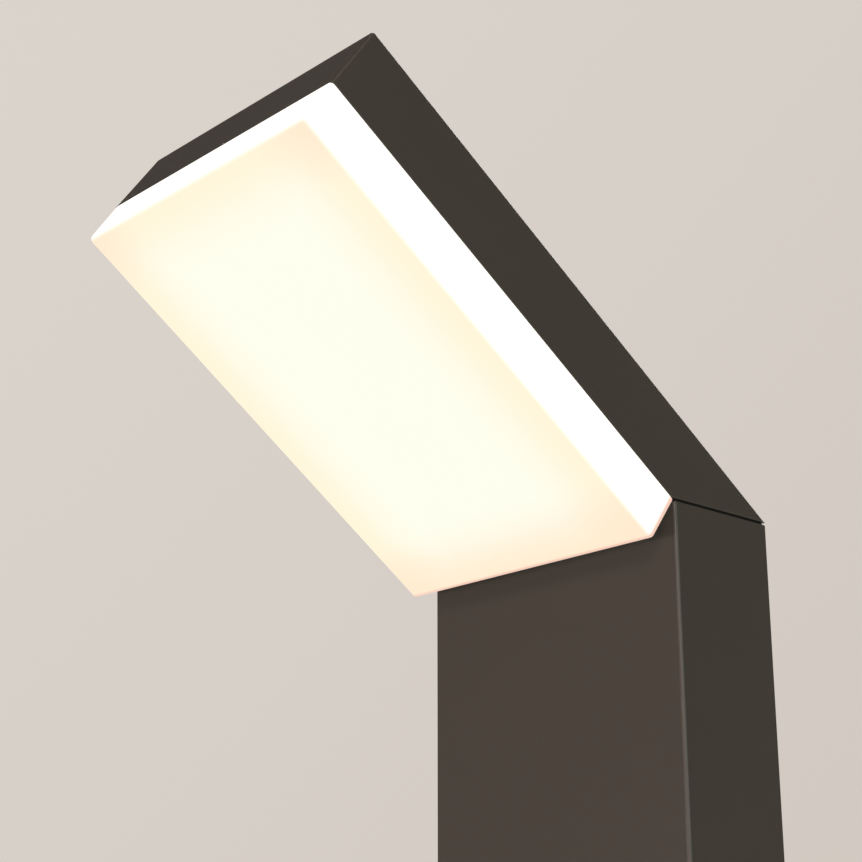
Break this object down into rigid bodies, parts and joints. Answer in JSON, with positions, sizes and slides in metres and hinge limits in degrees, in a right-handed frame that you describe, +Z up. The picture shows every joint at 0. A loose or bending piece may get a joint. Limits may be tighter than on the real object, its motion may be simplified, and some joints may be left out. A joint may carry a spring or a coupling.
{
  "type": "bollard light",
  "caption": "Rectangular post light on a bolted base plate, with a flat head that leans forward and an opal light box on its underside.",
  "frame": {"origin": "centre of the base plate's underside, below the middle of the post", "axes": "+Z up along the post; the lamp head leans out towards -Y; +X across the post's wide face"},
  "size_m": [0.16, 0.2515, 0.7997],
  "materials": {
    "powder_coat": "satin anthracite-brown powder coat with a very fine texture",
    "base_powder_coat": "the same powder coat on the steel base plate",
    "cast_aluminium": "matte, as cast",
    "rolled_aluminium": "satin mill finish",
    "galvanised_steel": "satin zinc-plated sheet",
    "stainless_steel": "satin stainless fasteners",
    "opal_acrylic": "satin opal, lit from inside with warm white light",
    "black_nylon": "matte moulded nylon",
    "white_plastic": "matte white moulding",
    "led_board": "white solder mask with yellow phosphor chips",
    "grey_plastic": "matte grey moulding",
    "orange_plastic": "gloss orange moulding",
    "rubber": "matte black rubber",
    "tinned_copper": "satin tin plate",
    "lead_brown": "satin brown wire jacket",
    "lead_blue": "satin blue wire jacket",
    "lead_green_yellow": "satin green and yellow striped wire jacket",
    "cable_white": "satin white cable sheath"
  },
  "bodies": {
    "bollard": {"base_plate": "base_powder_coat", "board_screw_1": "stainless_steel", "board_screw_2": "stainless_steel", "board_screw_3": "stainless_steel", "board_screw_4": "stainless_steel", "cable_gland_body": "black_nylon", "cable_gland_cable_seal": "rubber", "cable_gland_dome_nut": "black_nylon", "cable_gland_face_seal": "rubber", "cable_gland_lock_nut": "black_nylon", "cable_grommet": "rubber", "diffuser": "opal_acrylic", "diffuser_clip_left": "stainless_steel", "diffuser_clip_right": "stainless_steel", "diffuser_gasket": "rubber", "driver_case": "white_plastic", "driver_screw_lower": "stainless_steel", "driver_screw_upper": "stainless_steel", "earth_lug": "tinned_copper", "earth_screw": "stainless_steel", "gear_tray": "galvanised_steel", "gear_tray_screw_left": "stainless_steel", "gear_tray_screw_right": "stainless_steel", "head_screw_1": "stainless_steel", "head_screw_2": "stainless_steel", "head_screw_3": "stainless_steel", "head_screw_4": "stainless_steel", "head_shell": "powder_coat", "heat_spreader": "rolled_aluminium", "lead_earth": "lead_green_yellow", "lead_live": "lead_brown", "lead_neutral": "lead_blue", "led_board_lower": "led_board", "led_board_upper": "led_board", "led_cable": "cable_white", "led_connector": "white_plastic", "neck_gasket": "rubber", "neck_plug": "cast_aluminium", "neck_set_screw_left": "stainless_steel", "neck_set_screw_right": "stainless_steel", "post_grub_screw_left": "stainless_steel", "post_grub_screw_right": "stainless_steel", "post_socket": "cast_aluminium", "post_tube": "powder_coat", "reflector_frame": "white_plastic", "socket_screw_1": "stainless_steel", "socket_screw_2": "stainless_steel", "socket_screw_3": "stainless_steel", "socket_screw_4": "stainless_steel", "spreader_screw_1": "stainless_steel", "spreader_screw_2": "stainless_steel", "spreader_screw_3": "stainless_steel", "spreader_screw_4": "stainless_steel", "terminal_housing": "grey_plastic", "terminal_screw_left": "stainless_steel", "terminal_screw_right": "stainless_steel"},
    "terminal_lever_live": {"terminal_lever_live": "orange_plastic"},
    "terminal_lever_neutral": {"terminal_lever_neutral": "orange_plastic"},
    "terminal_lever_earth": {"terminal_lever_earth": "orange_plastic"}
  },
  "joints": [
    {"name": "terminal_lever_live_hinge", "type": "hinge", "parent": "bollard", "child": "terminal_lever_live", "pos_m": [-0.014, 0.001, 0.123], "axis": [-1, 0, 0], "range_deg": [0, 85]},
    {"name": "terminal_lever_neutral_hinge", "type": "hinge", "parent": "bollard", "child": "terminal_lever_neutral", "pos_m": [0, 0.001, 0.123], "axis": [-1, 0, 0], "range_deg": [0, 85]},
    {"name": "terminal_lever_earth_hinge", "type": "hinge", "parent": "bollard", "child": "terminal_lever_earth", "pos_m": [0.014, 0.001, 0.123], "axis": [-1, 0, 0], "range_deg": [0, 85]}
  ]
}
